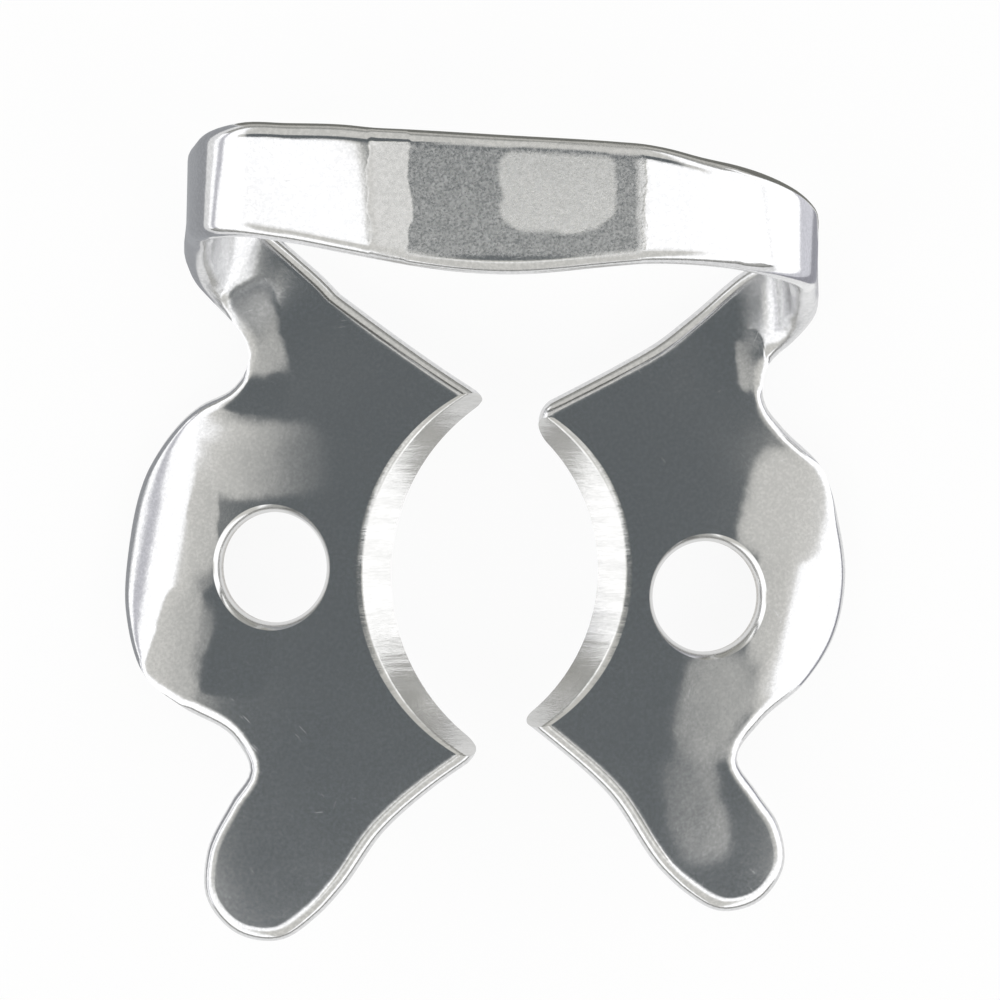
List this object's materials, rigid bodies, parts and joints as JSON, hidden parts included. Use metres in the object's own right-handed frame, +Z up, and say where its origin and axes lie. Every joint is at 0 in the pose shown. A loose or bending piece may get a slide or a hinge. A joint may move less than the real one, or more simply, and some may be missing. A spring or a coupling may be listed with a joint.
{
  "type": "rubber dam clamp",
  "caption": "Bent steel clamp whose winged jaw plates, each pierced with a hole, face each other across a curved gap and are joined by an arched strap bow.",
  "frame": {"origin": "middle of the bounding box, on the plane the clamp rests on", "axes": "+Z up as the clamp rests on its lateral wings and one neck, +Y distal, from the mesial wings towards the bow, +X to the right when the bow is at the top"},
  "size_m": [0.0222, 0.025, 0.0109],
  "materials": {
    "steel": "polished, with fine scratches and ground tooth edges"
  },
  "bodies": {
    "root": {"clamp": "steel"}
  },
  "joints": []
}
